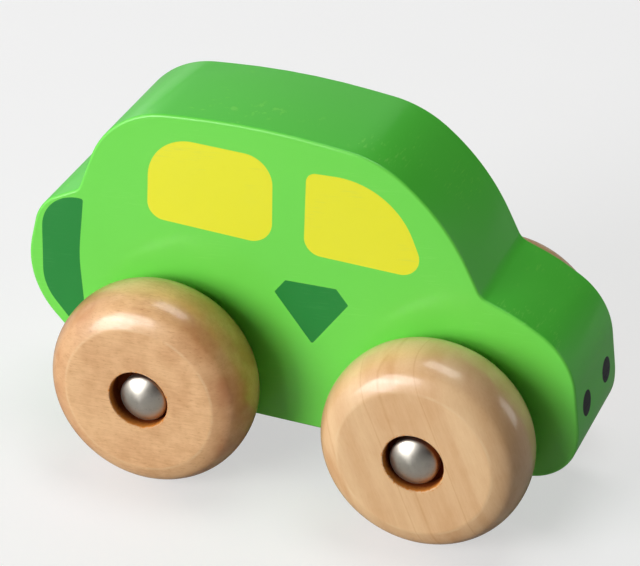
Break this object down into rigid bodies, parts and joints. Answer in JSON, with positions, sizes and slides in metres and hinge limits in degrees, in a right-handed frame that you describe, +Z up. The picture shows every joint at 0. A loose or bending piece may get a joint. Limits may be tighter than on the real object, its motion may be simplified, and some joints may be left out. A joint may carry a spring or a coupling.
{
  "type": "pull back car",
  "caption": "Wooden toy car on turned wheels, with a spring motor under its body that winds when the car is pulled back.",
  "frame": {"origin": "bottom centre of the bounding box: on the ground, under the middle of the car's length", "axes": "+X towards the front of the car, +Y to its left, +Z up"},
  "size_m": [0.0986, 0.0524, 0.0647],
  "materials": {
    "green_painted_wood": "satin green paint on wood, with printed yellow windows and dark green shapes",
    "wheel_wood": "clear lacquered pale hardwood",
    "cap_metal": "plain bright metal",
    "axle_steel": "drawn steel rod",
    "screw_steel": "zinc plated",
    "spring_steel": "blued spring strip",
    "motor_plastic": "moulded",
    "gear_plastic": "moulded acetal"
  },
  "bodies": {
    "chassis": {"body": "green_painted_wood", "motor_housing_left": "motor_plastic", "motor_housing_right": "motor_plastic", "housing_screws": "screw_steel", "motor_screws": "screw_steel", "mainspring": "spring_steel", "drive_gear_pin": "axle_steel", "front_axle": "axle_steel", "front_cap_left": "cap_metal", "front_cap_right": "cap_metal"},
    "rear_axle_set": {"rear_axle": "axle_steel", "axle_gear": "gear_plastic", "rear_wheel_left": "wheel_wood", "rear_wheel_right": "wheel_wood", "rear_cap_left": "cap_metal", "rear_cap_right": "cap_metal"},
    "drive_gear": {"drive_gear": "gear_plastic"},
    "arbor": {"spring_arbor": "axle_steel", "spring_gear": "gear_plastic", "winding_gear": "gear_plastic"},
    "clutch": {"clutch_gear": "gear_plastic", "clutch_pin": "axle_steel"},
    "front_wheel_left": {"front_wheel_left": "wheel_wood"},
    "front_wheel_right": {"front_wheel_right": "wheel_wood"}
  },
  "joints": [
    {"name": "rear_axle_spin", "type": "hinge", "parent": "chassis", "child": "rear_axle_set", "pos_m": [-0.02244, 0, 0.018], "axis": [0, 1, 0], "continuous": true},
    {"name": "drive_gear_spin", "type": "hinge", "parent": "chassis", "child": "drive_gear", "pos_m": [-0.01858, 0, 0.02613], "axis": [0, 1, 0], "continuous": true},
    {"name": "arbor_spin", "type": "hinge", "parent": "chassis", "child": "arbor", "pos_m": [-0.00858, 0, 0.026], "axis": [0, 1, 0], "continuous": true},
    {"name": "clutch_gear_spin", "type": "hinge", "parent": "chassis", "child": "clutch", "pos_m": [-0.01389, 0, 0.01812], "axis": [0, 1, 0], "continuous": true},
    {"name": "front_wheel_left_spin", "type": "hinge", "parent": "chassis", "child": "front_wheel_left", "pos_m": [0.02616, 0, 0.018], "axis": [0, 1, 0], "continuous": true},
    {"name": "front_wheel_right_spin", "type": "hinge", "parent": "chassis", "child": "front_wheel_right", "pos_m": [0.02616, 0, 0.018], "axis": [0, 1, 0], "continuous": true}
  ],
  "couplings": [
    {"joint": "drive_gear_spin", "follows": "rear_axle_spin", "ratio": -0.5},
    {"joint": "arbor_spin", "follows": "rear_axle_spin", "ratio": 0.16667},
    {"joint": "clutch_gear_spin", "follows": "rear_axle_spin", "ratio": -0.18519}
  ]
}
